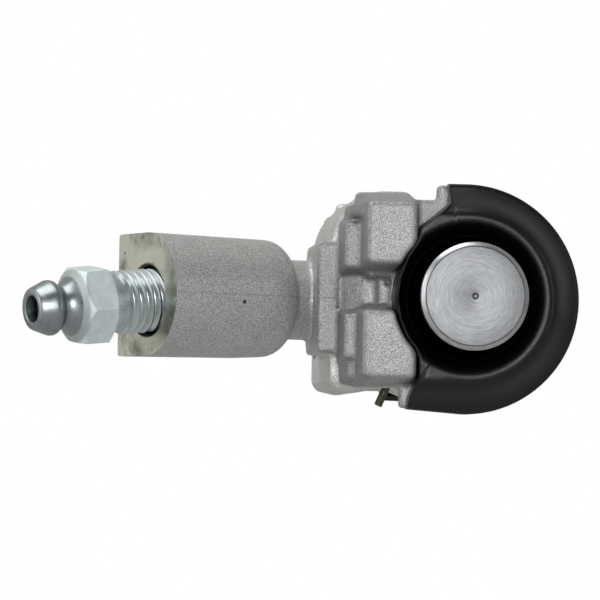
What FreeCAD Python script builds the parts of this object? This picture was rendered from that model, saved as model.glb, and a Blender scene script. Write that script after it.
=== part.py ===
import FreeCAD, Part
import math
import os

V = FreeCAD.Vector

# Hydraulic wheel cylinder of a drum brake. All lengths are in millimetres.
# It is drawn about the middle of its bore: the bore runs along Y, the arm with the bleeder points to -X,
# Z is up and the near end is at -Y. At the end every piece is moved so that the origin lies on the
# mounting face, half way between the two mounting screws.

# Bore and pistons
BORE_R = 11.1
BORE_CHAMFER = 0.2
PISTON_FIT = 0.03
CUP_FIT = 0.02
TOUCH_GAP = 0.02
PISTON_IN = 10.0
PISTON_STEP = 16.6
PISTON_NOSE_R = 8.1
PISTON_END = 34.6
NOSE_CHAMFER_R = 0.82
NOSE_CHAMFER_Y = 0.45
BEAD_GROOVE_R = 7.0
BEAD_GROOVE_FROM = 29.6
BEAD_GROOVE_TO = 32.0
CENTRE_MARK_R = 0.6
CENTRE_MARK_DEPTH = 0.5

# Rubber cups, expanders and the spring between them
CUP_THICK = 4.4
CUP_LIP_DEPTH = 2.2
CUP_LIP = 1.3
CUP_TAPER = 0.3
EXPANDER_R = 8.2
EXPANDER_HUB_R = 3.4
EXPANDER_SHEET = 0.6
EXPANDER_DEEP = 3.0
SPRING_WIRE_R = 0.55
SPRING_R = 5.2
SPRING_TURNS = 4.0
SPRING_SIDES = 8
SPRING_CUTS = 14
SPRING_SEAT = PISTON_IN - CUP_THICK + CUP_LIP_DEPTH - EXPANDER_SHEET - 2 * TOUCH_GAP
SPRING_PITCH = 2 * (SPRING_SEAT - SPRING_WIRE_R * 1.02 - TOUCH_GAP) / SPRING_TURNS

# Barrel, end flanges and their bare machined ends
BARREL_R = 15.7
FLANGE_R = 17.2
FLANGE_IN = 19.0
FLANGE_OUT = 22.0
FLANGE_TOP_END = -2.9
FLANGE_BOTTOM_END = {-1: -9.0, 1: -2.9}
SHOULDER_R = 18.0
RIM_LESS = {-1: 0.0, 1: 1.0}
LOWER_RISE = 0.075
SHOULDER_TOP_END = -4.4
SHOULDER_BOTTOM_END = {-1: -10.0, 1: -4.4}
STRIP_TOP = 15.6
STRIP_BOTTOM = -13.8
STRIP_LEFT = -15.0

# Mounting block on the side of the barrel, with the pilot pad that fits the hole in the backing plate
SEAT_X = -20.4
BLOCK_HALF = 15.4
BLOCK_TOP = [(SEAT_X, 9.8), (-19.8, 11.8), (-19.1, 13.3), (-16.8, 15.9), (-14.8, 16.8), (-12.6, 17.3),
             (-8.4, 17.3), (-6.7, 15.8)]
BLOCK_BOTTOM = [(-11.6, -13.6), (-13.8, -14.4), (-16.4, -14.9), (-19.6, -14.2), (SEAT_X, -13.0)]
BLOCK_RIGHT = -4.0
BLOCK_ROUND = 0.9
PILOT_THICK = 2.35
PILOT_NEAR = -16.2
PILOT_FAR = 4.0
PILOT_TOP = 9.05
PILOT_BOTTOM = -8.7
PILOT_CORNER = 3.0
PILOT_ROOT = 1.0

# Guide lugs at each end: the brake shoe's web slides in the slot between them
LUG_FRONT = 28.0
LUG_BACK = 14.0
SLOT_FLOOR = 18.0
SLOT_FROM = -21.5
SLOT_END = -11.0
UPPER_LUG_FRONT = (-16.2, -8.1, 5.0, 14.8)
UPPER_LUG_BACK = (-16.8, -7.7, 3.3, 17.2)
LOWER_LUG_FRONT = (-16.7, -8.1, -12.8, -2.1)
LOWER_LUG_BACK = (-17.2, -7.7, -14.1, -1.2)
BAND_FRONT = 22.0
UPPER_BAND_FRONT = (-19.0, -15.0, 4.5, 11.6)
UPPER_BAND_BACK = (-19.4, -15.0, 3.5, 12.6)
LOWER_BAND_FRONT = (-19.0, -15.0, -9.6, -2.6)
LOWER_BAND_BACK = (-19.4, -15.0, -10.6, -1.4)
UPPER_SHELF_FRONT = (-18.2, -15.0, 12.4, 14.6)
UPPER_SHELF_BACK = (-18.5, -15.0, 12.7, 14.8)
LOWER_SHELF_FRONT = (-18.2, -15.0, -12.8, -9.9)
LOWER_SHELF_BACK = (-19.2, -15.0, -13.8, -9.9)
SHELF_FRONT = 21.0
RIB_FRONT = (-13.4, -12.2, -0.6, 2.8)
RIB_BACK = (-13.8, -12.0, -1.3, 3.4)
RIB_TOP = 20.6
LUG_ROUND = 0.8
RIDGE_CLEAR_R = 11.8

# Arm that carries the bleeder through the backing plate
ARM_TILT = 26.0
NECK_R = 6.4
BOSS_FROM = 19.5
BOSS_TO = 43.1
BOSS_R_OUTER = 9.7
BOSS_R_INNER = 9.35
BOSS_BACK = 9.2
BOSS_END_ROUND = 2.9
ROOT_R = 7.3
ROOT_FROM = 11.6
ROOT_TO = 13.6
PASSAGE_R = 1.75

# Bleeder screw: stations are distances along the arm from the bore wall
BLEEDER_DROOP = 5.8
BLEEDER_CROSS = 33.0
THREAD_R = 5.0
THREAD_FIT = 0.05
SEAT_SMALL = 31.25
THREAD_BOTTOM = 38.0
MOUTH_R = 5.85
SCREW_WAIST_R = 3.6
SCREW_TIP_R = 1.8
SCREW_THREAD_END = 48.3
COLLAR_R = 4.7
HEX_FROM = 51.2
HEX_TO = 56.9
HEX_FLATS = 11.3
HEX_TURN = 5.8
HEX_CHAMFER = 1.1
NIPPLE_NECK_R = 3.3
NIPPLE_NECK_TO = 59.0
BULB_R = 4.32
BULB_AT = 60.4
NIPPLE_TIP_R = 3.2
NIPPLE_TIP = 63.5
BLEED_BORE_R = 1.25
BLEED_MOUTH_R = 2.05
BLEED_MOUTH_DEPTH = 1.6
CROSS_HOLE_R = 0.9

# Inlet port for the brake pipe, on the flat back of the boss
INLET_AT = 26.6
INLET_R = 5.0
INLET_DEPTH = 6.0

# Threaded holes for the mounting screws
SCREW_HOLE_R = 2.5
SCREW_HOLE_DEPTH = 7.0
SCREW_HOLE_POINT = 1.5
SCREW_HOLE_CHAMFER = 0.5
SCREW_HOLE_Y = 10.5
SCREW_HOLE_HALF_PITCH = 6.5

# Steel pin pressed into the underside
PIN_R = 0.65
PIN_FROM = V(-9.0, -5.0, -11.1)
PIN_TO = V(-11.5, -5.0, -16.7)

# Rubber dust boots
BOOT_WALL = 0.9
BOOT_PROUD = 0.1
BOOT_RIM_R = SHOULDER_R + BOOT_PROUD
BOOT_RIM_IN = 19.6
BOOT_RIM_OUT = 22.9
BOOT_RIDGE_R = 11.9
BOOT_RIDGE_AT = 28.3
BOOT_VALLEY_R = 9.6
BOOT_VALLEY_AT = 25.6
BOOT_LEFT_R = 11.65
BOOT_LEFT_WALL = 0.7
BOOT_LUG_SIDE = -7.75
BOOT_TOP_CORNER = (-2.9, 14.9)
BOOT_UPPER_SIDE = 11.0
BOOT_LOWER_SIDE = -15.4

NEAR = -1
FAR = 1
ALONG_Y = V(0, 1, 0)
ARM = V(-math.cos(math.radians(ARM_TILT)), -math.sin(math.radians(ARM_TILT)), 0)
ARM_NEAR = V(math.sin(math.radians(ARM_TILT)), -math.cos(math.radians(ARM_TILT)), 0)
ARM_START = V(-BORE_R, 0, 0)
DROOP = math.radians(BLEEDER_DROOP)
BLEED = ARM * math.cos(DROOP) + V(0, 0, -1) * math.sin(DROOP)
TO_SEAT = V(-SEAT_X, -SCREW_HOLE_Y, 0)


def arm_point(t, near=0.0, z=0.0):
    return ARM_START + ARM * t + ARM_NEAR * near + V(0, 0, z)


def bleed_point(t):
    return arm_point(BLEEDER_CROSS) + BLEED * (t - BLEEDER_CROSS)


def closed_face(points):
    return Part.Face(Part.makePolygon(points + [points[0]]))


def turned(profile, start, direction):
    # Turn a list of (radius, distance) pairs into a solid of revolution about the line from start.
    points = [V(r, 0, d) for r, d in profile]
    solid = closed_face(points).revolve(V(0, 0, 0), V(0, 0, 1), 360)
    solid.Placement = FreeCAD.Placement(start, FreeCAD.Rotation(V(0, 0, 1), direction))
    return solid


def turned_on_bore(profile, side):
    return turned(profile, V(0, 0, 0), V(0, side, 0))


def cylinder(radius, start, end):
    axis = end - start
    return Part.makeCylinder(radius, axis.Length, start, axis)


def plate(outline, y_from, y_to):
    # A flat piece cut to an outline of (x, z) pairs, between two stations along the bore.
    face = closed_face([V(x, y_from, z) for x, z in outline])
    return face.extrude(V(0, y_to - y_from, 0))


def six_sided(front, back):
    # A solid with six flat sides from the four corners of its front and the four of its back.
    faces = [closed_face(front), closed_face(back)]
    for i in range(4):
        j = (i + 1) % 4
        faces.append(closed_face([front[i], front[j], back[j], back[i]]))
    return Part.Solid(Part.Shell(faces))


def box_corners(box, y):
    x0, x1, z0, z1 = box
    return [V(x0, y, z0), V(x1, y, z0), V(x1, y, z1), V(x0, y, z1)]


def tapered_block(front_box, front_y, back_box, back_y, side, round_r):
    # A cast block with draft on all its walls and a rounded front.
    solid = six_sided(box_corners(front_box, side * front_y), box_corners(back_box, side * back_y))
    soft = [e for e in solid.Edges if abs(e.CenterOfMass.y - side * back_y) > 0.01]
    return solid.makeFillet(round_r, soft)


def mirrored(shape):
    return shape.mirror(V(0, 0, 0), ALONG_Y)


def boss_corners(t, radius):
    ring = [(0, -radius), (0, radius), (-BOSS_BACK, radius), (-BOSS_BACK, -radius)]
    return [arm_point(t, near, z) for near, z in ring]


def make_arm():
    # The boss is half round on the near side and flat on the back, a little wider at its open end.
    neck = cylinder(NECK_R, arm_point(1.0), arm_point(BOSS_FROM + 4.0))
    length = BOSS_TO - BOSS_FROM
    cone = Part.makeCone(BOSS_R_INNER, BOSS_R_OUTER, length, arm_point(BOSS_FROM), ARM)
    wide = 2 * BOSS_R_OUTER
    corners = [(0, -wide), (0, wide), (wide, wide), (wide, -wide)]
    near_side = six_sided([arm_point(BOSS_FROM - wide, n, z) for n, z in corners],
                          [arm_point(BOSS_TO + wide, n, z) for n, z in corners])
    back = six_sided(boss_corners(BOSS_FROM, BOSS_R_INNER), boss_corners(BOSS_TO, BOSS_R_OUTER))
    boss = cone.common(near_side).fuse(back).removeSplitter()
    inner_end = [e for e in boss.Edges if abs((e.CenterOfMass - ARM_START).dot(ARM) - BOSS_FROM) < 0.01]
    boss = boss.makeFillet(BOSS_END_ROUND, inner_end)
    root = Part.makeCone(ROOT_R, NECK_R, ROOT_TO - ROOT_FROM, arm_point(ROOT_FROM), ARM)
    return neck.fuse([boss, root])


def lower_edge(x, side):
    # The rim's lower edge rises a little from the middle to the lugs.
    return -(SHOULDER_R - RIM_LESS[side] + LOWER_RISE * x)


def flange(side):
    # End flange: a half circle on the right and straight edges that stop at the lugs. The lower near one runs
    # further than the rest.
    flange_r = FLANGE_R - RIM_LESS[side]
    shoulder_r = SHOULDER_R - RIM_LESS[side]
    disc = cylinder(flange_r, V(0, side * FLANGE_IN, 0), V(0, side * FLANGE_OUT, 0))
    top = [(0, 0), (0, flange_r), (FLANGE_TOP_END, flange_r), (FLANGE_TOP_END, shoulder_r),
           (SHOULDER_TOP_END, shoulder_r), (SHOULDER_TOP_END, STRIP_TOP),
           (STRIP_LEFT, STRIP_TOP), (STRIP_LEFT, 0)]
    lip_end = FLANGE_BOTTOM_END[side]
    end = SHOULDER_BOTTOM_END[side]
    bottom = [(0, 0), (STRIP_LEFT, 0), (STRIP_LEFT, STRIP_BOTTOM), (end, STRIP_BOTTOM),
              (end, lower_edge(end, side)), (lip_end, lower_edge(lip_end, side)), (lip_end, -flange_r),
              (0, -flange_r)]
    y0 = side * FLANGE_IN
    y1 = side * FLANGE_OUT
    far = 2.0 * FLANGE_R
    right_half = disc.common(plate([(0, -far), (far, -far), (far, far), (0, far)], y0, y1))
    return right_half.fuse([plate(top, y0, y1), plate(bottom, y0, y1)])


def make_block():
    outline = [(BLOCK_RIGHT, BLOCK_TOP[-1][1])] + BLOCK_TOP[::-1] + BLOCK_BOTTOM[::-1]
    outline.append((BLOCK_RIGHT, BLOCK_BOTTOM[0][1]))
    block = plate(outline, -BLOCK_HALF, BLOCK_HALF)
    soft = [e for e in block.Edges if abs(abs(e.CenterOfMass.y) - BLOCK_HALF) < 0.01
            and SEAT_X + 0.01 < e.CenterOfMass.x < BLOCK_RIGHT - 0.01]
    block = block.makeFillet(BLOCK_ROUND, soft)
    z0, z1, c = PILOT_BOTTOM, PILOT_TOP, PILOT_CORNER
    pilot = closed_face([V(SEAT_X, PILOT_NEAR, z0), V(SEAT_X, PILOT_NEAR, z1), V(SEAT_X, PILOT_FAR - c, z1),
                         V(SEAT_X, PILOT_FAR, z1 - c), V(SEAT_X, PILOT_FAR, z0 + c),
                         V(SEAT_X, PILOT_FAR - c, z0)])
    proud = pilot.extrude(V(-PILOT_THICK, 0, 0))
    root = pilot.extrude(V(PILOT_ROOT, 0, 0))
    return block.fuse([proud, root])


def make_lugs():
    upper = tapered_block(UPPER_LUG_FRONT, LUG_FRONT, UPPER_LUG_BACK, LUG_BACK, NEAR, LUG_ROUND)
    lower = tapered_block(LOWER_LUG_FRONT, LUG_FRONT, LOWER_LUG_BACK, LUG_BACK, NEAR, LUG_ROUND)
    upper_band = tapered_block(UPPER_BAND_FRONT, BAND_FRONT, UPPER_BAND_BACK, LUG_BACK, NEAR, LUG_ROUND / 2)
    lower_band = tapered_block(LOWER_BAND_FRONT, BAND_FRONT, LOWER_BAND_BACK, LUG_BACK, NEAR, LUG_ROUND / 2)
    soft = LUG_ROUND / 2
    upper_shelf = tapered_block(UPPER_SHELF_FRONT, SHELF_FRONT, UPPER_SHELF_BACK, LUG_BACK, NEAR, soft)
    lower_shelf = tapered_block(LOWER_SHELF_FRONT, SHELF_FRONT, LOWER_SHELF_BACK, LUG_BACK, NEAR, soft)
    lugs = upper.fuse([lower, upper_band, lower_band, upper_shelf, lower_shelf])
    boot_room = cylinder(RIDGE_CLEAR_R, V(0, -FLANGE_OUT, 0), V(0, -LUG_FRONT - 1, 0))
    return lugs.cut(boot_room)


def drilled(radius, depth, mouth, inward, chamfer):
    hole = cylinder(radius, mouth - inward, mouth + inward * depth)
    sink = Part.makeCone(radius + chamfer, radius, chamfer, mouth, inward)
    return hole.fuse(sink)


def blind_hole(z):
    # A screw hole with the cone that the drill's point leaves at its end.
    mouth = V(SEAT_X, SCREW_HOLE_Y, z)
    inward = V(1, 0, 0)
    hole = drilled(SCREW_HOLE_R, SCREW_HOLE_DEPTH, mouth, inward, SCREW_HOLE_CHAMFER)
    bottom = mouth + inward * SCREW_HOLE_DEPTH
    return hole.fuse(Part.makeCone(SCREW_HOLE_R, 0, SCREW_HOLE_POINT, bottom, inward))


def make_casting():
    barrel = cylinder(BARREL_R, V(0, -FLANGE_IN - 1, 0), V(0, FLANGE_IN + 1, 0))
    lugs = make_lugs()
    body = barrel.fuse([flange(NEAR), flange(FAR), make_block(), lugs, mirrored(lugs), make_arm()])
    z0, z1 = LOWER_LUG_BACK[3], UPPER_LUG_BACK[2]
    ring = [(SLOT_FROM, z0), (SLOT_END, z0), (SLOT_END, z1), (SLOT_FROM, z1)]
    slot = plate(ring, -SLOT_FLOOR, -LUG_FRONT - 1)
    rib = tapered_block(RIB_FRONT, RIB_TOP, RIB_BACK, SLOT_FLOOR - 1.0, NEAR, LUG_ROUND / 2)
    body = body.cut([slot, mirrored(slot)]).fuse([rib, mirrored(rib)])
    bore = cylinder(BORE_R, V(0, -FLANGE_OUT - 1, 0), V(0, FLANGE_OUT + 1, 0))
    cuts = [bore]
    for side in (NEAR, FAR):
        cuts.append(Part.makeCone(BORE_R + BORE_CHAMFER, BORE_R, BORE_CHAMFER,
                                  V(0, side * FLANGE_OUT, 0), V(0, -side, 0)))
    cuts.append(cylinder(PASSAGE_R, arm_point(-2.0), arm_point(SEAT_SMALL + 1.0)))
    seat = [(0, SEAT_SMALL), (PASSAGE_R, SEAT_SMALL), (THREAD_R, SEAT_SMALL + THREAD_R - PASSAGE_R),
            (THREAD_R, BOSS_TO - 0.2 - MOUTH_R + THREAD_R), (MOUTH_R, BOSS_TO - 0.2),
            (MOUTH_R, BOSS_TO + 3.0), (0, BOSS_TO + 3.0)]
    seat = [(r, d - BLEEDER_CROSS) for r, d in seat]
    cuts.append(turned(seat, arm_point(BLEEDER_CROSS), BLEED))
    mouth = arm_point(INLET_AT, -BOSS_BACK)
    cuts.append(drilled(INLET_R, INLET_DEPTH, mouth, ARM_NEAR, SCREW_HOLE_CHAMFER))
    cuts.append(cylinder(PASSAGE_R, mouth, arm_point(INLET_AT)))
    for z in (-SCREW_HOLE_HALF_PITCH, SCREW_HOLE_HALF_PITCH):
        cuts.append(blind_hole(z))
    cuts.append(cylinder(PIN_R, PIN_FROM, PIN_TO))
    return body.cut(cuts)


def make_piston(side):
    r = BORE_R - PISTON_FIT
    profile = [(0, PISTON_IN), (r, PISTON_IN), (r, PISTON_STEP),
               (PISTON_NOSE_R, PISTON_STEP), (PISTON_NOSE_R, BEAD_GROOVE_FROM),
               (BEAD_GROOVE_R, BEAD_GROOVE_FROM), (BEAD_GROOVE_R, BEAD_GROOVE_TO),
               (PISTON_NOSE_R, BEAD_GROOVE_TO), (PISTON_NOSE_R, PISTON_END - NOSE_CHAMFER_Y),
               (PISTON_NOSE_R - NOSE_CHAMFER_R, PISTON_END),
               (CENTRE_MARK_R, PISTON_END), (0, PISTON_END - CENTRE_MARK_DEPTH)]
    return turned_on_bore(profile, side)


def make_cup(side):
    r = BORE_R - CUP_FIT
    back = PISTON_IN - TOUCH_GAP
    front = back - CUP_THICK
    profile = [(0, back), (r - CUP_TAPER, back), (r, front), (r - CUP_LIP / 2, front),
               (r - 2 * CUP_LIP, front + CUP_LIP_DEPTH), (0, front + CUP_LIP_DEPTH)]
    return turned_on_bore(profile, side)


def make_expander(side):
    seat = PISTON_IN - TOUCH_GAP - CUP_THICK + CUP_LIP_DEPTH - TOUCH_GAP
    s = EXPANDER_SHEET
    deep = seat - EXPANDER_DEEP
    profile = [(0, seat), (EXPANDER_R, seat), (EXPANDER_R, seat - s), (EXPANDER_HUB_R + s, seat - s),
               (EXPANDER_HUB_R, deep), (EXPANDER_HUB_R - s, deep), (EXPANDER_HUB_R, seat - s), (0, seat - s)]
    return turned_on_bore(profile, side)


def wire_section(angle, height):
    # One eight-sided cut through the spring wire, square to its run.
    out = V(math.cos(angle), math.sin(angle), 0)
    pitch = 2 * math.pi * SPRING_R
    along = V(-math.sin(angle) * pitch, math.cos(angle) * pitch, SPRING_PITCH).normalize()
    up = along.cross(out)
    centre = out * SPRING_R + V(0, 0, height)
    corners = []
    for i in range(SPRING_SIDES):
        turn = 2 * math.pi * (i + 0.5) / SPRING_SIDES
        off = out * (SPRING_WIRE_R * math.cos(turn)) + up * (SPRING_WIRE_R * math.sin(turn))
        corners.append(centre + off)
    return Part.makePolygon(corners + [corners[0]])


def make_spring():
    half = SPRING_PITCH * SPRING_TURNS / 2
    steps = int(SPRING_TURNS * SPRING_CUTS)
    sections = []
    for i in range(steps + 1):
        share = i / steps
        sections.append(wire_section(2 * math.pi * SPRING_TURNS * share, half * (2 * share - 1)))
    spring = Part.makeLoft(sections, True, True)
    spring.Placement = FreeCAD.Placement(V(0, 0, 0), FreeCAD.Rotation(V(0, 0, 1), ALONG_Y))
    return spring


def make_bleeder():
    r = THREAD_R - THREAD_FIT
    lift = THREAD_FIT * math.sqrt(2)
    cone_at = SEAT_SMALL + lift + SCREW_WAIST_R - PASSAGE_R
    tip_at = SEAT_SMALL + lift + SCREW_TIP_R - PASSAGE_R
    profile = [(0, tip_at), (SCREW_TIP_R, tip_at), (SCREW_WAIST_R, cone_at),
               (SCREW_WAIST_R, THREAD_BOTTOM - 0.8), (r, THREAD_BOTTOM), (r, SCREW_THREAD_END),
               (COLLAR_R, SCREW_THREAD_END), (COLLAR_R, HEX_FROM + 0.5), (NIPPLE_NECK_R, HEX_FROM + 0.5),
               (NIPPLE_NECK_R, NIPPLE_NECK_TO), (BULB_R * 0.96, BULB_AT - 0.7), (BULB_R, BULB_AT - 0.2),
               (BULB_R, BULB_AT + 0.3), (NIPPLE_TIP_R, NIPPLE_TIP), (0, NIPPLE_TIP)]
    profile = [(a, d - BLEEDER_CROSS) for a, d in profile]
    body = turned(profile, V(0, 0, 0), V(0, 0, 1))
    corner_r = HEX_FLATS / math.sqrt(3)
    corners = [V(corner_r * math.cos(math.radians(60 * i)), corner_r * math.sin(math.radians(60 * i)),
                 HEX_FROM - BLEEDER_CROSS) for i in range(6)]
    hexagon = closed_face(corners).extrude(V(0, 0, HEX_TO - HEX_FROM))
    flat_r = HEX_FLATS / 2
    rounding = [(0, HEX_FROM), (flat_r + 0.2, HEX_FROM), (corner_r + 0.1, HEX_FROM + 0.5),
                (corner_r + 0.1, HEX_TO - HEX_CHAMFER), (flat_r - 0.4, HEX_TO), (0, HEX_TO)]
    rounding = [(a, d - BLEEDER_CROSS) for a, d in rounding]
    hexagon = hexagon.common(turned(rounding, V(0, 0, 0), V(0, 0, 1)))
    cross_at = THREAD_BOTTOM - 2.4 - BLEEDER_CROSS
    mouth_at = NIPPLE_TIP - BLEEDER_CROSS
    mouth_from = V(0, 0, mouth_at - BLEED_MOUTH_DEPTH)
    cuts = [cylinder(BLEED_BORE_R, V(0, 0, cross_at - 1), V(0, 0, mouth_at + 1)),
            cylinder(CROSS_HOLE_R, V(-10, 0, cross_at), V(10, 0, cross_at)),
            Part.makeCone(BLEED_BORE_R, BLEED_MOUTH_R, BLEED_MOUTH_DEPTH, mouth_from)]
    screw = body.fuse(hexagon).cut(cuts)
    # Stand the local X axis, which carries a corner of the hexagon, on the near side of the arm.
    third = BLEED.cross(ARM_NEAR)
    frame = FreeCAD.Matrix(ARM_NEAR.x, third.x, BLEED.x, 0, ARM_NEAR.y, third.y, BLEED.y, 0,
                           ARM_NEAR.z, third.z, BLEED.z, 0, 0, 0, 0, 1)
    screw.rotate(V(0, 0, 0), V(0, 0, 1), HEX_TURN)
    turn = FreeCAD.Placement(frame).Rotation
    screw.Placement = FreeCAD.Placement(arm_point(BLEEDER_CROSS), turn).multiply(screw.Placement)
    return screw


def make_pin():
    direction = (PIN_TO - PIN_FROM).normalize()
    return cylinder(PIN_R, PIN_FROM + direction * TOUCH_GAP, PIN_TO)


def boot_outline(rim_r):
    # Outside of the boot in section, from the lip over the flange to the bead in the piston's groove.
    nose = PISTON_NOSE_R + TOUCH_GAP
    groove = BEAD_GROOVE_R + TOUCH_GAP
    face = FLANGE_OUT + TOUCH_GAP
    rim_in = rim_r - SHOULDER_R - BOOT_PROUD + FLANGE_R + TOUCH_GAP
    g0 = BEAD_GROOVE_FROM + TOUCH_GAP
    g1 = BEAD_GROOVE_TO - TOUCH_GAP
    return [(rim_r, BOOT_RIM_IN), (rim_r, BOOT_RIM_OUT - 0.7), (rim_r - 0.5, BOOT_RIM_OUT),
            (rim_r - 2.2, BOOT_RIM_OUT + 0.5), (BOOT_RIDGE_R + 1.2, BOOT_RIDGE_AT - 0.9),
            (BOOT_RIDGE_R + 0.5, BOOT_RIDGE_AT), (BOOT_RIDGE_R - 0.4, BOOT_RIDGE_AT),
            (BOOT_VALLEY_R + 0.5, BOOT_VALLEY_AT), (nose + BOOT_WALL, BOOT_VALLEY_AT + 0.4),
            (nose + BOOT_WALL, g1 + 0.2), (nose, g1 + 0.6), (nose, g1), (groove, g1), (groove, g0),
            (nose, g0), (nose, face), (rim_in, face), (rim_in, BOOT_RIM_IN)]


def boot_hollow(rim_r):
    w = BOOT_WALL
    floor = FLANGE_OUT - 1.0
    inside = PISTON_NOSE_R - 1.0
    return [(inside, BOOT_VALLEY_AT - 0.5), (BOOT_VALLEY_R + 0.5, BOOT_VALLEY_AT - w),
            (BOOT_RIDGE_R - 0.6, BOOT_RIDGE_AT - w), (BOOT_RIDGE_R + 0.3, BOOT_RIDGE_AT - w - 0.3),
            (rim_r - 3.0, floor + 1.0), (rim_r - 3.0, floor), (inside, floor)]


def boot_region(side, inset):
    # What is left of the round boot beside the lugs, seen along the bore. The hollow uses it with an inset.
    y0 = side * (FLANGE_IN - 1.0)
    y1 = side * (PISTON_END + 1.0)
    far = 2.0 * BOOT_RIM_R
    left = BOOT_LUG_SIDE + inset
    top_x, top_z = BOOT_TOP_CORNER
    lip_end = FLANGE_BOTTOM_END[side]
    outline = [(far, far), (top_x + inset, far), (top_x + inset, top_z - inset),
               (left, BOOT_UPPER_SIDE - inset), (left, BOOT_LOWER_SIDE), (lip_end + inset, BOOT_LOWER_SIDE),
               (lip_end + inset, lower_edge(lip_end, side)), (0, lower_edge(0, side) - BOOT_PROUD),
               (0, -far), (far, -far)]
    centre = cylinder(BOOT_LEFT_R - inset, V(0, y0, 0), V(0, y1, 0))
    return plate(outline, y0, y1).fuse(centre)


def with_straight_sides(profile, rim_r, side):
    # The right half is round to the rim. On the left the rim runs on straight, as the flange does.
    ring = turned_on_bore(profile, side)
    far = 2.0 * BOOT_RIM_R
    y0 = side * (FLANGE_IN - 1.0)
    y1 = side * (PISTON_END + 1.0)
    right = ring.common(plate([(0, -far), (far, -far), (far, far), (0, far)], y0, y1))
    left = ring.common(plate([(0, -far), (0, far), (-far, far), (-far, -far)], y0, y1))
    left = left.common(cylinder(rim_r - 2.2, V(0, y0, 0), V(0, y1, 0)))
    inner_r = BOOT_RIDGE_R + 1.2
    outer = [(r, d) for r, d in profile if r >= inner_r]
    outer.insert(-2, (inner_r, outer[-2][1]))
    parts = [left]
    for sign, end in ((1, FLANGE_TOP_END), (-1, FLANGE_BOTTOM_END[side])):
        section = closed_face([V(0, side * d, sign * r) for r, d in outer])
        parts.append(section.extrude(V(end, 0, 0)))
    return right.fuse(parts)


def make_boot(side):
    rim_r = BOOT_RIM_R - RIM_LESS[side]
    rubber = with_straight_sides(boot_outline(rim_r), rim_r, side).common(boot_region(side, 0.0))
    hollow = turned_on_bore(boot_hollow(rim_r), side).common(boot_region(side, BOOT_LEFT_WALL))
    return rubber.cut(hollow)


def save(name, shape):
    shape.translate(TO_SEAT)
    solids = shape.Solids
    print(name, "solids", len(solids), "volume", round(shape.Volume, 1), "valid", shape.isValid())
    shape.exportStep("parts/" + name + ".step")


os.makedirs("parts", exist_ok=True)
save("body_casting", make_casting())
for side, end_name in ((NEAR, "near"), (FAR, "far")):
    save("piston_" + end_name, make_piston(side))
    save("cup_seal_" + end_name, make_cup(side))
    save("cup_expander_" + end_name, make_expander(side))
    save("dust_boot_" + end_name, make_boot(side))
save("return_spring", make_spring())
save("bleeder_screw", make_bleeder())
save("locating_pin", make_pin())
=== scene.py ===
import bpy
import bmesh
import math
from mathutils import Matrix, Vector


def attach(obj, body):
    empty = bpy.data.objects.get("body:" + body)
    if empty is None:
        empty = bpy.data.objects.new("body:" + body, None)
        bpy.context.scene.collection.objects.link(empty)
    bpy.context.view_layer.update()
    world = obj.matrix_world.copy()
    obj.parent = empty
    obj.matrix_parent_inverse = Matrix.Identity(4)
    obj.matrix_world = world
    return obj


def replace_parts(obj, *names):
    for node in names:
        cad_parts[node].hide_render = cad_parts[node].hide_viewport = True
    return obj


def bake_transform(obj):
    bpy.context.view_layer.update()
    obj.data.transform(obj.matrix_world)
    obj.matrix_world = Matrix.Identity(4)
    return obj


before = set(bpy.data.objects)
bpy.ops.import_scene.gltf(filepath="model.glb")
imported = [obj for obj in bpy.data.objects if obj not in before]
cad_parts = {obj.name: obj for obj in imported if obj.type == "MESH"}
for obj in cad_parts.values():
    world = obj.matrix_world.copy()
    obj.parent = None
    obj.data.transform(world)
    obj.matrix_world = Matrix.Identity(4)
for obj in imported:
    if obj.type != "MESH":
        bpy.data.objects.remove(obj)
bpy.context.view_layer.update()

# Body casting. The real piece is a light-metal casting, shot-blasted all over, so its edges are soft and its
# skin is finely grained. The boss's end, the bore and the holes are then milled or drilled bright.
MM = 0.001
WHITE = (1.0, 1.0, 1.0)
BORE = Vector((0.0204, -0.0105, 0.0))
TILT = math.radians(26.0)
DROOP = math.radians(5.8)
ARM = Vector((-math.cos(TILT), -math.sin(TILT), 0.0))
ARM_NEAR = Vector((math.sin(TILT), -math.cos(TILT), 0.0))
BLEED = ARM * math.cos(DROOP) + Vector((0.0, 0.0, -math.sin(DROOP)))
# Places in millimetres: where the arm's axis starts, where the bleeder's axis leaves it, the brake pipe port
# and the boss's end along the arm, and the two mounting screws on the seat.
ARM_ROOT = -11.1
BEND_AT = 33.0
PORT_AT = 26.6
BOSS_END = 43.1
SEAT = -20.36
SCREW_HOLES = ((10.5, -6.5), (10.5, 6.5))


def in_bore(x, y, z):
    # A point given in millimetres from the middle of the bore.
    return BORE + Vector((x, y, z)) * MM


def arm_point(t, near=0.0, z=0.0):
    # A point along the arm's axis, moved towards the near end of the bore and upwards.
    return in_bore(ARM_ROOT, 0.0, z) + (ARM * t + ARM_NEAR * near) * MM


def bleed_point(t):
    # A point on the bleeder's drooping axis, counted on from the arm's own axis.
    return arm_point(BEND_AT) + BLEED * (t - BEND_AT) * MM


def rod(bm, start, end, r0, r1=None, segments=64, material=0):
    # A closed round bar or cone between two points. Radii are in millimetres.
    run = end - start
    turn = Vector((0.0, 0.0, 1.0)).rotation_difference(run).to_matrix().to_4x4()
    place = Matrix.Translation((start + end) / 2) @ turn
    before = set(bm.faces)
    bmesh.ops.create_cone(bm, cap_ends=True, segments=segments, radius1=r0 * MM,
                          radius2=(r0 if r1 is None else r1) * MM, depth=run.length, matrix=place)
    for face in set(bm.faces) - before:
        face.material_index = material


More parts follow.
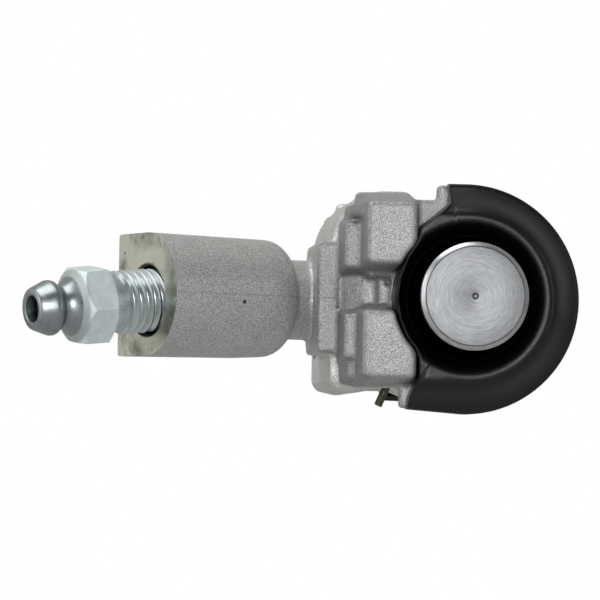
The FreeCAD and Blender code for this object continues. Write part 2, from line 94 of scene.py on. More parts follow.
def slab(bm, corners, depth, material=0):
    # A closed prism from a ring of corners and the vector that it is drawn out along.
    face = bm.faces.new([bm.verts.new(c) for c in corners])
    face.material_index = material
    drawn = bmesh.ops.extrude_face_region(bm, geom=[face], use_keep_orig=True)
    moved = [v for v in drawn["geom"] if isinstance(v, bmesh.types.BMVert)]
    bmesh.ops.translate(bm, verts=moved, vec=depth)
    for item in drawn["geom"]:
        if isinstance(item, bmesh.types.BMFace):
            item.material_index = material
    for edge in face.edges:
        for side in edge.link_faces:
            side.material_index = material
    bmesh.ops.recalc_face_normals(bm, faces=bm.faces)


def object_from(bm, name, *materials):
    mesh = bpy.data.meshes.new(name)
    bm.to_mesh(mesh)
    bm.free()
    for material in materials:
        mesh.materials.append(material)
    made = bpy.data.objects.new(name, mesh)
    bpy.context.scene.collection.objects.link(made)
    return made


def smooth_shaded(bm, crisp):
    # Smooth faces, but a crisp edge where they meet at more than this angle or in another material.
    for face in bm.faces:
        face.smooth = True
    for edge in bm.edges:
        if len(edge.link_faces) == 2:
            first, second = edge.link_faces
            edge.smooth = first.material_index == second.material_index and edge.calc_face_angle(0.0) < crisp


def bake_modifiers(made):
    # The object's mesh becomes the one that its modifiers give, and the modifiers go.
    bpy.context.view_layer.update()
    graph = bpy.context.evaluated_depsgraph_get()
    mesh = bpy.data.meshes.new_from_object(made.evaluated_get(graph))
    made.modifiers.clear()
    made.data = mesh


def make_material(name, colour, metallic, roughness):
    material = bpy.data.materials.new(name)
    material.use_nodes = True
    shader = material.node_tree.nodes["Principled BSDF"]
    shader.inputs["Base Color"].default_value = (*colour, 1.0)
    shader.inputs["Metallic"].default_value = metallic
    shader.inputs["Roughness"].default_value = roughness
    return material, material.node_tree, shader


def add(tree, kind, **values):
    # A shader node with some of its settings and inputs filled in.
    node = tree.nodes.new(kind)
    for key, value in values.items():
        if key in node.inputs:
            node.inputs[key].default_value = value
        else:
            setattr(node, key, value)
    return node


def wire(tree, *pairs):
    for start, end in pairs:
        tree.links.new(start, end)


def object_place(tree):
    return add(tree, "ShaderNodeTexCoord").outputs["Object"]


def split_xyz(tree, vector):
    split = add(tree, "ShaderNodeSeparateXYZ")
    wire(tree, (vector, split.inputs["Vector"]))
    return split.outputs["X"], split.outputs["Y"], split.outputs["Z"]


def join_xyz(tree, **parts):
    joined = add(tree, "ShaderNodeCombineXYZ")
    for axis, value in parts.items():
        wire(tree, (value, joined.inputs[axis]))
    return joined.outputs["Vector"]


def vector_math(tree, operation, vector, second=None, result="Vector"):
    # A vector operation on a socket and, for most operations, a fixed second vector.
    made = add(tree, "ShaderNodeVectorMath", operation=operation)
    wire(tree, (vector, made.inputs[0]))
    if second is not None:
        made.inputs[1].default_value = second
    return made.outputs[result]


def noise(tree, vector, scale, detail=2.0, roughness=0.5, stretch=None):
    if stretch is not None:
        mapping = add(tree, "ShaderNodeMapping")
        mapping.inputs["Scale"].default_value = stretch
        wire(tree, (vector, mapping.inputs["Vector"]))
        vector = mapping.outputs["Vector"]
    made = add(tree, "ShaderNodeTexNoise", Scale=scale, Detail=detail, Roughness=roughness)
    wire(tree, (vector, made.inputs["Vector"]))
    return made.outputs["Fac"]


def ramp(tree, value, low, high, dark, light):
    made = add(tree, "ShaderNodeValToRGB")
    made.color_ramp.elements[0].position = low
    made.color_ramp.elements[1].position = high
    made.color_ramp.elements[0].color = (*dark, 1.0)
    made.color_ramp.elements[1].color = (*light, 1.0)
    wire(tree, (value, made.inputs["Fac"]))
    return made.outputs["Color"]


def spread(tree, value, low, high, to_low, to_high):
    # The value from one range laid over another one, and held at its ends.
    made = add(tree, "ShaderNodeMapRange")
    for key, number in (("From Min", low), ("From Max", high), ("To Min", to_low), ("To Max", to_high)):
        made.inputs[key].default_value = number
    wire(tree, (value, made.inputs["Value"]))
    return made.outputs["Result"]


def combine(tree, operation, first, second):
    # Arithmetic on two sockets or numbers.
    made = add(tree, "ShaderNodeMath", operation=operation)
    for socket, item in zip(made.inputs, (first, second)):
        if isinstance(item, float):
            socket.default_value = item
        else:
            wire(tree, (item, socket))
    return made.outputs["Value"]


def near_point(tree, place, point, inner, outer):
    # One within the inner distance of a point, fading to nought at the outer one.
    gap = vector_math(tree, "DISTANCE", place, point, "Value")
    return spread(tree, gap, inner, outer, 1.0, 0.0)


def tinted(tree, first, second):
    # Two colours multiplied.
    mixed = add(tree, "ShaderNodeMix", data_type="RGBA", blend_type="MULTIPLY")
    mixed.inputs[0].default_value = 1.0
    wire(tree, (first, mixed.inputs[6]), (second, mixed.inputs[7]))
    return mixed.outputs[2]


def toned(tree, colour, mask, tone):
    # The colour, multiplied by a tone where the mask is one.
    return tinted(tree, colour, ramp(tree, mask, 0.0, 1.0, WHITE, tone))


def bumped(tree, shader, *layers):
    # Each layer is a height, a strength and a distance in metres. The first one lies undermost.
    normal = None
    for height, strength, distance in layers:
        bump = add(tree, "ShaderNodeBump", Strength=strength, Distance=distance)
        wire(tree, (height, bump.inputs["Height"]))
        if normal is not None:
            wire(tree, (normal, bump.inputs["Normal"]))
        normal = bump.outputs["Normal"]
    wire(tree, (normal, shader.inputs["Normal"]))


cast_skin, tree, shader = make_material("cast_skin", (0.42, 0.42, 0.42), 0.75, 0.5)
place = object_place(tree)
at_x, at_y, at_z = split_xyz(tree, place)
grain = noise(tree, place, 5200.0, 3.0, 0.65)
fleck = noise(tree, place, 3600.0, 2.0, 0.5)
blotch = noise(tree, place, 220.0, 3.0, 0.5)
# The mould's parting line runs round the arm and over the pad. One small dent lies below it.
wander = spread(tree, noise(tree, place, 300.0), 0.0, 1.0, -0.0001, 0.0002)
off_line = combine(tree, "ABSOLUTE", combine(tree, "SUBTRACT", at_z, wander), 0.0)
on_arm = spread(tree, at_x, 0.0004, 0.0008, 1.0, 0.0)
seam = combine(tree, "MULTIPLY", spread(tree, off_line, 0.00003, 0.00013, 1.0, 0.0), on_arm)
dent = near_point(tree, place, arm_point(30.8, 9.45, -1.07), 0.00022, 0.00042)
marks = combine(tree, "MAXIMUM", combine(tree, "MULTIPLY", seam, 0.25), dent)
base = tinted(tree, ramp(tree, grain, 0.34, 0.66, (0.26, 0.256, 0.258), (0.76, 0.755, 0.75)),
              ramp(tree, blotch, 0.3, 0.7, (0.9, 0.9, 0.9), WHITE))
base = toned(tree, base, marks, (0.1, 0.1, 0.1))
# Painted shade: the block's front is darker than the arm, and the pad on it darker still.
on_block = spread(tree, at_x, -0.0026, -0.0022, 0.0, 1.0)
in_front = spread(tree, at_y, -0.0265, -0.0261, 1.0, 0.0)
painted_front_shade = combine(tree, "MULTIPLY", on_block, in_front)
pad = combine(tree, "MULTIPLY", spread(tree, at_x, 0.0045, 0.0055, 1.0, 0.0), painted_front_shade)
base = toned(tree, base, painted_front_shade, (0.67, 0.675, 0.69))
base = toned(tree, base, pad, (0.8, 0.8, 0.81))
# Painted reflection: the block is tinted a little warm, and the arm a little darker.
base = tinted(tree, base, ramp(tree, on_block, 0.0, 1.0, (0.95, 0.945, 0.94), (1.0, 1.0, 0.985)))
# Painted light: the block's lower flanks, away from its front, are lightened.
painted_flank_light = combine(tree, "MULTIPLY", combine(tree, "SUBTRACT", on_block, in_front),
                    spread(tree, at_z, -0.0096, -0.0086, 1.0, 0.0))
base = tinted(tree, base, spread(tree, painted_flank_light, 0.0, 1.0, 1.0, 1.15))
wire(tree, (base, shader.inputs["Base Color"]),
     (spread(tree, fleck, 0.3, 0.7, 0.42, 0.58), shader.inputs["Roughness"]))
bumped(tree, shader, (seam, 0.35, 0.0001), (fleck, 0.3, 0.00012), (grain, 0.55, 0.00008))

milled_face, tree, shader = make_material("milled_face", (0.84, 0.85, 0.70), 0.9, 0.36)
place = object_place(tree)
from_hole = vector_math(tree, "SUBTRACT", place, arm_point(BOSS_END))
off_axis = vector_math(tree, "LENGTH", vector_math(tree, "CROSS_PRODUCT", from_hole, ARM), result="Value")
strokes = noise(tree, join_xyz(tree, X=off_axis), 4200.0, 3.0, 0.65)
patches = noise(tree, place, 190.0, 3.0, 0.55)
stains = noise(tree, place, 520.0, 4.0, 0.65)
base = tinted(tree, ramp(tree, strokes, 0.3, 0.7, (0.52, 0.525, 0.45), (0.66, 0.665, 0.57)),
              ramp(tree, stains, 0.32, 0.46, (0.62, 0.63, 0.63), WHITE))
# Towards the rim the cutter left smeared, darker streaks, and the side towards the near piston is darkened as
# painted shade.
smear = combine(tree, "MULTIPLY", spread(tree, off_axis, 0.0066, 0.0092, 0.0, 1.0),
                spread(tree, patches, 0.42, 0.62, 0.0, 1.0))
inward = vector_math(tree, "DOT_PRODUCT", from_hole, ARM_NEAR, "Value")
base = toned(tree, base, smear, (0.34, 0.34, 0.32))
base = toned(tree, base, spread(tree, inward, 0.0045, 0.0085, 0.0, 1.0), (0.66, 0.66, 0.68))
# The mouth, the port and the screw holes are deep and lie in shade, and the face has one small pit.
hollows = [(bleed_point(42.6), 0.0057, 0.0060, 0.03), (arm_point(PORT_AT, -5.0), 0.0048, 0.0060, 0.3),
           (arm_point(BOSS_END, -7.3, 6.7), 0.00012, 0.0003, 0.12)]
hollows += [(in_bore(-15.5, y, z), 0.0042, 0.0050, 0.3) for y, z in SCREW_HOLES]
for point, inner, outer, tone in hollows:
    base = toned(tree, base, near_point(tree, place, point, inner, outer), (tone, tone, tone))
wire(tree, (base, shader.inputs["Base Color"]),
     (spread(tree, patches, 0.3, 0.7, 0.28, 0.44), shader.inputs["Roughness"]))
bumped(tree, shader, (strokes, 0.25, 0.00004))

# The holes are plugged while the skin is softened and cut again afterwards, so their edges stay sharp.
lump = bmesh.new()
lump.from_mesh(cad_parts["body_casting"].data)
bmesh.ops.remove_doubles(lump, verts=lump.verts, dist=1e-7)
for face in lump.faces:
    face.material_index = 0
rod(lump, in_bore(0, -21.9, 0), in_bore(0, 21.9, 0), 11.8)
rod(lump, bleed_point(29.0), bleed_point(42.0), 6.2)
rod(lump, arm_point(-1.5), arm_point(36.0), 2.2)
rod(lump, arm_point(PORT_AT, -9.2), arm_point(PORT_AT), 6.0)
for y, z in SCREW_HOLES:
    rod(lump, in_bore(-20.35, y, z), in_bore(-11.0, y, z), 3.4)
# The floor of the slot rises towards its inner end, and the upper lug has a sloping shelf.
slot_ramp = ((-19.6, 15.2), (-14.6, 15.2), (-14.6, 17.9), (-16.4, 17.7), (-18.0, 16.8))
lug_shelf = ((-18.2, 15.2), (-18.2, 20.6), (-17.4, 23.5), (-16.0, 27.3), (-14.0, 27.3), (-14.0, 15.2))
for side in (-1, 1):
    slab(lump, [in_bore(x, side * y, -1.1) for x, y in slot_ramp], Vector((0, 0, 0.0043)))
    slab(lump, [in_bore(x, side * y, 12.6) for x, y in lug_shelf], Vector((0, 0, 0.0021)))
# The boss goes on past its end, so that the cutter meets a full section: flat behind and half round in front.
boss_r, boss_flat, arc_steps = 9.68, -9.19, 32
section = [(boss_flat, -boss_r), (boss_flat, boss_r)]
for i in range(arc_steps + 1):
    angle = math.pi * (0.5 - i / arc_steps)
    section.append((boss_r * math.cos(angle), boss_r * math.sin(angle)))
slab(lump, [arm_point(41.5, n, z) for n, z in section], ARM * 0.0036)
casting = object_from(lump, "casting", cast_skin, milled_face)

remesh = casting.modifiers.new("skin", "REMESH")
remesh.mode = "VOXEL"
remesh.voxel_size = 0.00034
remesh.use_smooth_shade = True
soften = casting.modifiers.new("soften", "SMOOTH")
soften.factor = 0.5
soften.iterations = 11

# The cutters leave the milled material on what they cut, except for the seat round the pad, which is as cast.
face_cut = bmesh.new()
slab(face_cut, [arm_point(BOSS_END, n, z) for n, z in ((-14, -14), (-14, 14), (14, 14), (14, -14))],
     ARM * 0.006, 1)
slab(face_cut, [in_bore(SEAT, y, z) for y, z in ((-20, 9.4), (4.4, 9.4), (4.4, -9.05), (-20, -9.05),
                                                 (-20, -20), (20, -20), (20, 20), (-20, 20))],
     Vector((-0.0004, 0, 0)))
bore_cut = bmesh.new()
rod(bore_cut, in_bore(0, -22.5, 0), in_bore(0, 22.5, 0), 11.1, segments=96, material=1)
thread_cut = bmesh.new()
rod(thread_cut, bleed_point(34.0), bleed_point(46.0), 5.05, segments=96, material=1)
rod(thread_cut, arm_point(PORT_AT, -3.8), arm_point(PORT_AT, 0.5), 1.6, material=1)
mouth_cut = bmesh.new()
mouth_shift = ARM_NEAR * 0.0006 + Vector((0.0, 0.0, 0.0002))
rod(mouth_cut, bleed_point(41.85) + mouth_shift, bleed_point(44.6) + mouth_shift, 4.8, 6.45, 96, 1)
rod(mouth_cut, arm_point(PORT_AT, -9.7), arm_point(PORT_AT, -3.2), 5.0, segments=96, material=1)
for y, z in SCREW_HOLES:
    rod(mouth_cut, in_bore(-21.0, y, z), in_bore(-13.4, y, z), 2.5, segments=48, material=1)
cutters = [object_from(bm, name, cast_skin, milled_face)
           for bm, name in ((face_cut, "face_cutter"), (bore_cut, "bore_cutter"),
                            (thread_cut, "thread_cutter"), (mouth_cut, "mouth_cutter"))]
for cutter in cutters:
    cut = casting.modifiers.new("cut", "BOOLEAN")
    cut.operation = "DIFFERENCE"
    cut.solver = "EXACT"
    cut.object = cutter
    cut.material_mode = "TRANSFER"
bake_modifiers(casting)
for cutter in cutters:
    bpy.data.objects.remove(cutter)
skin = bmesh.new()
skin.from_mesh(casting.data)
smooth_shaded(skin, 0.7)
skin.to_mesh(casting.data)
skin.free()
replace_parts(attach(casting, "housing"), "body_casting")

# Pistons. Each is turned from light metal bar: a full-size body in the bore and a smaller nose whose flat end
# carries fine facing rings, a bevel and the mark of the lathe's centre. The shoe's web rests on that face.


def band(tree, value, rise, full, fall, end):
    # One between two limits of the value, fading to nought beyond both.
    return combine(tree, "MULTIPLY", spread(tree, value, rise, full, 0.0, 1.0),
                   spread(tree, value, fall, end, 1.0, 0.0))


def spun(bm, points, centre, axis, segments):
    # A line of points spun about an axis into a turned surface.
    verts = [bm.verts.new(point) for point in points]
    edges = [bm.edges.new(pair) for pair in zip(verts, verts[1:])]
    bmesh.ops.spin(bm, geom=verts + edges, cent=centre, axis=axis, angle=math.tau, steps=segments,
                   use_merge=True)
    bmesh.ops.remove_doubles(bm, verts=bm.verts, dist=1e-7)


turned_face, tree, shader = make_material("turned_face", (0.35, 0.36, 0.38), 0.9, 0.4)
place = object_place(tree)
at_x, _, at_z = split_xyz(tree, place)
flat_place = vector_math(tree, "MULTIPLY", place, (1.0, 0.0, 1.0))
radius = vector_math(tree, "DISTANCE", flat_place, (BORE.x, 0.0, 0.0), "Value")
# The rings are noise over the radius, a little off round so that each one breaks up into short scratches.
ring_at = join_xyz(tree, X=radius, Y=combine(tree, "MULTIPLY", combine(tree, "SUBTRACT", at_x, BORE.x), 0.07),
                   Z=combine(tree, "MULTIPLY", at_z, 0.07))
rings = noise(tree, ring_at, 7600.0, 3.0, 0.7)
broad = noise(tree, ring_at, 900.0, 2.0, 0.5)
# The bevel round the face was cut with another tool: it is smoother and painted lighter, a painted highlight,
# and a fine dark line parts the two.
bevel = spread(tree, radius, 0.00764, 0.00772, 0.0, 1.0)
edge_line = band(tree, radius, 0.00756, 0.00764, 0.00772, 0.0078)
centre_ring = band(tree, radius, 0.00012, 0.00022, 0.00045, 0.0006)
marks = combine(tree, "MAXIMUM", edge_line, combine(tree, "MULTIPLY", centre_ring, 0.9))
base = tinted(tree, ramp(tree, rings, 0.32, 0.68, (0.31, 0.318, 0.33), (0.54, 0.552, 0.57)),
              ramp(tree, broad, 0.3, 0.7, (0.96, 0.96, 0.96), WHITE))
base = tinted(tree, base, ramp(tree, bevel, 0.0, 1.0, (0.82, 0.82, 0.82), WHITE))
base = toned(tree, base, marks, (0.2, 0.2, 0.2))
wire(tree, (base, shader.inputs["Base Color"]),
     (spread(tree, bevel, 0.0, 1.0, 0.56, 0.3), shader.inputs["Roughness"]))
bumped(tree, shader, (rings, 0.06, 0.00002))

# The outline is a line of radii and distances along the bore, from the cup's side to the centre mark.
piston_outline = [
    (0.0, 10.0), (10.57, 10.0), (11.07, 10.5), (11.07, 16.1), (10.57, 16.6), (8.1, 16.6), (8.1, 29.6),
    (7.0, 29.6), (7.0, 32.0), (8.1, 32.0), (8.1, 32.5), (8.38, 32.8), (8.38, 34.06), (8.32, 34.15),
    (7.74, 34.54), (7.62, 34.6), (4.5, 34.6), (0.62, 34.6), (0.52, 34.56), (0.0, 34.15)]
for side, end in ((-1, "near"), (1, "far")):
    bm = bmesh.new()
    spun(bm, [in_bore(r, side * d, 0) for r, d in piston_outline], BORE, (0, 1, 0), 128)
    bmesh.ops.recalc_face_normals(bm, faces=bm.faces)
    smooth_shaded(bm, 0.5)
    piston = object_from(bm, "piston_" + end + "_turned", turned_face)
    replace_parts(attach(piston, end + "_piston"), "piston_" + end)

# Dust boots. Moulded black rubber, glossy from its mould: a lip over the end flange, a raised ridge and a
# tight neck in the piston's groove. Beside the lugs the rim is cut short, a half circle with straight ends.
boot_rubber, tree, shader = make_material("boot_rubber", (0.005, 0.0055, 0.007), 0.0, 0.3)
place = object_place(tree)
flat_place = vector_math(tree, "MULTIPLY", place, (1.0, 0.0, 1.0))
# The fold round the piston is matt and lies in painted shade, the ridge and the outside are glossy.
fold = near_point(tree, flat_place, (BORE.x, 0.0, 0.0), 0.0096, 0.0127)
dust = noise(tree, place, 1900.0, 3.0, 0.7)
swell = noise(tree, place, 140.0, 2.0, 0.5)
base = ramp(tree, dust, 0.68, 0.84, (0.003, 0.0033, 0.0045), (0.04, 0.04, 0.042))
base = toned(tree, base, fold, (0.1, 0.1, 0.1))
wire(tree, (base, shader.inputs["Base Color"]),
     (spread(tree, dust, 0.4, 0.8, 0.3, 0.42), shader.inputs["Roughness"]),
     (spread(tree, fold, 0.0, 1.0, 0.36, 0.0), shader.inputs["Specular IOR Level"]))
bumped(tree, shader, (swell, 0.2, 0.0006), (dust, 0.05, 0.0001))

# The section as radii and heights along the bore: the neck on the piston, then the fold and the crown.
neck_points = [(8.13, 31.7), (8.25, 32.15), (8.6, 32.3), (8.95, 32.0), (9.05, 31.2), (9.07, 29.0)]
crown_points = [(9.1, 27.0), (9.3, 26.3), (9.8, 26.0), (10.3, 26.4), (10.8, 27.15), (11.3, 27.72),
                (11.85, 28.03), (12.45, 28.15), (13.05, 28.05), (13.7, 27.68), (14.4, 26.95), (15.2, 25.85),
                (16.0, 24.75), (16.8, 23.85), (17.5, 23.2), (18.1, 22.75)]
# The rim's left side, seen along the bore, where it steps back for the two lugs and the slot between them.
left_path = [(-2.9, 14.9), (-7.75, 11.0), (-8.1, 9.4), (-9.9, 6.6), (-11.2, 3.2), (-11.65, 0.0),
             (-11.2, -3.2), (-9.9, -6.4), (-8.3, -8.4), (-7.75, -9.8), (-7.75, -15.4)]
neck_r = crown_points[0][0]
near_rim_r = crown_points[-1][0]
rolled = 0.55
rubber = 0.8
turns, crown_steps, roll_steps, skirt_steps = 288, 40, 6, 4


def height_at(radius):
    # How far out the rubber stands at this radius, from a smooth curve through the section's points.
    for i, ((r0, h0), (r1, h1)) in enumerate(zip(crown_points, crown_points[1:])):
        if radius <= r1:
            share = (radius - r0) / (r1 - r0)
            before = crown_points[max(i - 1, 0)]
            after = crown_points[min(i + 2, len(crown_points) - 1)]
            slope0 = (h1 - before[1]) / (r1 - before[0]) * (r1 - r0)
            slope1 = (after[1] - h0) / (after[0] - r0) * (r1 - r0)
            a, b = share * share, share * share * share
            return ((2 * b - 3 * a + 1) * h0 + (b - 2 * a + share) * slope0
                    + (3 * a - 2 * b) * h1 + (b - a) * slope1)
    return crown_points[-1][1]


def reach(angle, rim_path):
    # Distance from the axis to the boot's rim, seen along the bore, in the direction of this angle.
    x, z = math.cos(angle), math.sin(angle)
    if x >= 0:
        return rim_path[0][1]
    best = 0.0
    for (x0, z0), (x1, z1) in zip(rim_path, rim_path[1:]):
        cross = x * (z1 - z0) - z * (x1 - x0)
        if abs(cross) > 1e-9:
            length = (x0 * (z1 - z0) - z0 * (x1 - x0)) / cross
            share = (x0 * z - z0 * x) / cross
            if length > 0 and -1e-6 <= share <= 1 + 1e-6:
                best = max(best, length)
    return best


def section_radius(x, z):
    # The radius that the section is read at: round on the right, running out straight on the left.
    r = math.hypot(x, z)
    if x >= 0:
        return r
    share = min(max((r - 12.3) / 2.2, 0.0), 1.0)
    share = share * share * (3 - 2 * share)
    return math.hypot(x * (1 - share), z)


for side, end, lip_end, rim_r in ((-1, "near", -9.0, near_rim_r), (1, "far", -2.9, 17.1)):
    bm = bmesh.new()
    columns = []
    rim_path = [(0.0, rim_r), (-2.85, rim_r)] + left_path
    rim_path += [(lip_end, -15.5), (lip_end, -rim_r - 0.075 * lip_end), (0.0, -rim_r)]
    for i in range(turns):
        angle = math.tau * i / turns
        cx, cz = math.cos(angle), math.sin(angle)
        rim = reach(angle, rim_path)
        column = list(neck_points)
        for j in range(crown_steps + 1):
            r = neck_r + (rim - rolled - neck_r) * j / crown_steps
            column.append((r, height_at(section_radius(r * cx, r * cz) + near_rim_r - rim_r)))
        edge_height = column[-1][1]
        for j in range(1, roll_steps + 1):
            bend = math.pi / 2 * j / roll_steps
            column.append((rim - rolled + rolled * math.sin(bend),
                           edge_height - rolled + rolled * math.cos(bend)))
        # The skirt reaches over the flange where the rim is round, and stops short of it beside the lugs.
        low = 19.7 if section_radius(rim * cx, rim * cz) > rim_r - 0.9 else 22.05
        for j in range(1, skirt_steps + 1):
            column.append((rim, edge_height - rolled + (low - edge_height + rolled) * j / skirt_steps))
        column.append((rim - rubber, low))
        columns.append([bm.verts.new(in_bore(r * cx, side * h, r * cz)) for r, h in column])
    for i in range(turns):
        a, b = columns[i], columns[(i + 1) % turns]
        for j in range(len(a) - 1):
            bm.faces.new((a[j], a[j + 1], b[j + 1], b[j]))
    bmesh.ops.recalc_face_normals(bm, faces=bm.faces)
    for face in bm.faces:
        face.smooth = True
    boot = object_from(bm, "boot_" + end + "_moulded", boot_rubber)
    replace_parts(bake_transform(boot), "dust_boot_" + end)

# Bleeder screw. Zinc-plated steel with an M10 thread, plain collar, hexagon and a turned nipple, whose bulb
# the bleed hose grips. It is screwed into the boss, where its far end closes on the cone seat.
plated, tree, shader = make_material("plated", (0.52, 0.58, 0.60), 0.95, 0.28)
place = object_place(tree)
haze = noise(tree, place, 420.0, 3.0, 0.6)
from_hexagon = vector_math(tree, "SUBTRACT", place, bleed_point(56.5))
down_axis = vector_math(tree, "DOT_PRODUCT", from_hexagon, BLEED, "Value")
turning = noise(tree, join_xyz(tree, X=down_axis), 3600.0, 2.0, 0.6)
# The drilling is darkened inside as painted shade, and the nipple beyond the hexagon is painted darker, a
# painted shade.
inside = near_point(tree, place, bleed_point(61.6), 0.0019, 0.0025)
nipple = spread(tree, down_axis, -0.0002, 0.0003, 0.0, 1.0)
base = ramp(tree, haze, 0.3, 0.7, (0.54, 0.60, 0.61), (0.68, 0.745, 0.755))
base = toned(tree, base, inside, (0.05, 0.05, 0.05))
base = toned(tree, base, nipple, (0.5, 0.505, 0.51))
base = tinted(tree, base, ramp(tree, turning, 0.35, 0.65, (0.78, 0.78, 0.78), WHITE))
wire(tree, (base, shader.inputs["Base Color"]),
     (spread(tree, haze, 0.3, 0.7, 0.26, 0.38), shader.inputs["Roughness"]))
bumped(tree, shader, (turning, 0.3, 0.00004))

# The hexagon's flats take a lighter copy of the plating, painted light, with a rougher, less metallic finish.
plated_flats, tree, shader = make_material("plated_flats", (0.6, 0.66, 0.67), 0.6, 0.5)
place = object_place(tree)
haze = noise(tree, place, 700.0, 4.0, 0.6)
speck = noise(tree, place, 3600.0, 2.0, 0.5)
# Painted shade darkens the hexagon's turned end towards the nipple.
chamfer = near_point(tree, place, bleed_point(59.5), 0.0064, 0.0068)
base = ramp(tree, haze, 0.3, 0.7, (0.60, 0.68, 0.69), (0.73, 0.81, 0.82))
base = toned(tree, base, chamfer, (0.6, 0.6, 0.59))
wire(tree, (base, shader.inputs["Base Color"]),
     (spread(tree, haze, 0.3, 0.7, 0.45, 0.55), shader.inputs["Roughness"]))
bumped(tree, shader, (speck, 0.2, 0.00004))
third = BLEED.cross(ARM_NEAR)


def on_screw(t, radius, angle):
    # A point round the bleeder's axis: distance along it and radius in millimetres.
    return bleed_point(t) + (ARM_NEAR * math.cos(angle) + third * math.sin(angle)) * radius * MM


def turned_screw(bm, outline, segments=72):
    spun(bm, [on_screw(t, r, 0.0) for t, r in outline], bleed_point(40.0), BLEED, segments)


bm = bmesh.new()
cone_end = [(31.4, 0.0), (31.4, 1.8), (33.2, 3.6), (35.4, 3.6), (35.8, 4.2)]
collar = [(48.0, 4.0), (48.35, 4.55), (48.6, 4.62), (50.5, 4.62), (51.0, 4.75), (51.2, 5.2)]
neck = [(56.3, 5.3), (56.9, 4.65), (57.5, 4.08), (58.1, 3.68), (58.6, 3.46), (58.95, 3.4), (59.2, 3.5),
        (59.55, 3.82), (59.95, 4.18)]
bulb = [(60.35, 4.31), (60.7, 4.31), (61.1, 4.2), (63.15, 3.36), (63.4, 3.2), (63.5, 3.0)]
drilling = [(63.5, 2.3), (63.35, 2.12), (62.0, 1.95), (61.0, 1.6), (60.6, 1.25), (52.0, 1.25), (52.0, 0.0)]
for outline in (cone_end, collar, neck + bulb + drilling):
    turned_screw(bm, outline)
# The thread is one strip of faces wound round the screw. It fades out at the collar, and stands a little
# prouder outside the boss, where the photo shows it.
pitch, per_turn, root_r = 1.25, 60, 4.22
thread_from, thread_length, fade_end, fade_length = 35.2, 13.4, 49.1, 0.7
bare_from, bare_rise = 42.6, 1.1
tooth = [(0.0, root_r), (0.10, root_r), (0.53, 4.90), (0.72, 4.95), (1.15, 4.27)]
columns = []
for i in range(int(thread_length * per_turn / pitch) + 1):
    angle = math.tau * i / per_turn
    start = thread_from + pitch * i / per_turn
    fade = min(1.0, max(0.0, (fade_end - start) / fade_length)) * (1.0 if start < bare_from else bare_rise)
    columns.append([bm.verts.new(on_screw(start + dt, root_r + (r - root_r) * fade, angle))
                    for dt, r in tooth])
for i in range(len(columns) - 1):
    a, b = columns[i], columns[i + 1]
    for j in range(len(tooth) - 1):
        bm.faces.new((a[j], b[j], b[j + 1], a[j + 1]))
    if i + per_turn + 1 < len(columns):
        c, d = columns[i + per_turn], columns[i + per_turn + 1]
        bm.faces.new((a[-1], b[-1], d[0], c[0]))
bmesh.ops.recalc_face_normals(bm, faces=bm.faces)
smooth_shaded(bm, 0.6)
screw = object_from(bm, "bleeder_turned", plated)
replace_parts(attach(screw, "bleeder"), "bleeder_screw")

# The hexagon is a prism whose corners are turned off at both ends. It starts out a little too long, so that
# no two faces lie in one plane where it meets the turned shape, and every run trims it alike.
across_flats, hex_turn = 11.3, -8.0
bm = bmesh.new()
hexagon = [on_screw(51.0, across_flats / math.sqrt(3), math.radians(60 * i + hex_turn)) for i in range(6)]
slab(bm, hexagon, BLEED * 0.0061)
hex_nut = object_from(bm, "bleeder_hexagon", plated_flats)
bm = bmesh.new()
turned_screw(bm, [(51.2, 0.0), (51.2, 5.75), (51.75, 6.7), (55.3, 6.7), (56.2, 5.75), (56.9, 4.7),
                  (56.9, 0.0)], 96)
bmesh.ops.recalc_face_normals(bm, faces=bm.faces)
rounding = object_from(bm, "rounding", plated)
trim = hex_nut.modifiers.new("trim", "BOOLEAN")
trim.operation = "INTERSECT"
trim.solver = "FAST"
trim.object = rounding
soft_edge = hex_nut.modifiers.new("soft_edge", "BEVEL")
soft_edge.width = 0.00012
soft_edge.segments = 2
soft_edge.limit_method = "ANGLE"
soft_edge.angle_limit = 0.4
bake_modifiers(hex_nut)
bpy.data.objects.remove(rounding)
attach(hex_nut, "bleeder")

# Steel pin. A short end of dark drawn wire, pressed into the underside of the casting beside the near boot.
# It sticks out slantwise and is cut off square.
dark_wire, tree, shader = make_material("dark_wire", (0.05, 0.045, 0.03), 0.8, 0.45)
stain = noise(tree, object_place(tree), 900.0, 3.0, 0.6)
wire(tree, (ramp(tree, stain, 0.3, 0.7, (0.03, 0.028, 0.02), (0.12, 0.105, 0.07)),
            shader.inputs["Base Color"]))
bm = bmesh.new()
rod(bm, in_bore(-9.2, -5.0, -11.6), in_bore(-11.5, -5.0, -16.7), 0.65, segments=40)
rims = [e for e in bm.edges if len(e.link_faces) == 2 and e.calc_face_angle(0.0) > 1.0]
bmesh.ops.bevel(bm, geom=rims, offset=0.00008, segments=2, profile=0.5, affect="EDGES", material=-1)
for face in bm.faces:
    face.smooth = True
pin = object_from(bm, "pin_cut_wire", dark_wire)
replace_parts(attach(pin, "housing"), "locating_pin")

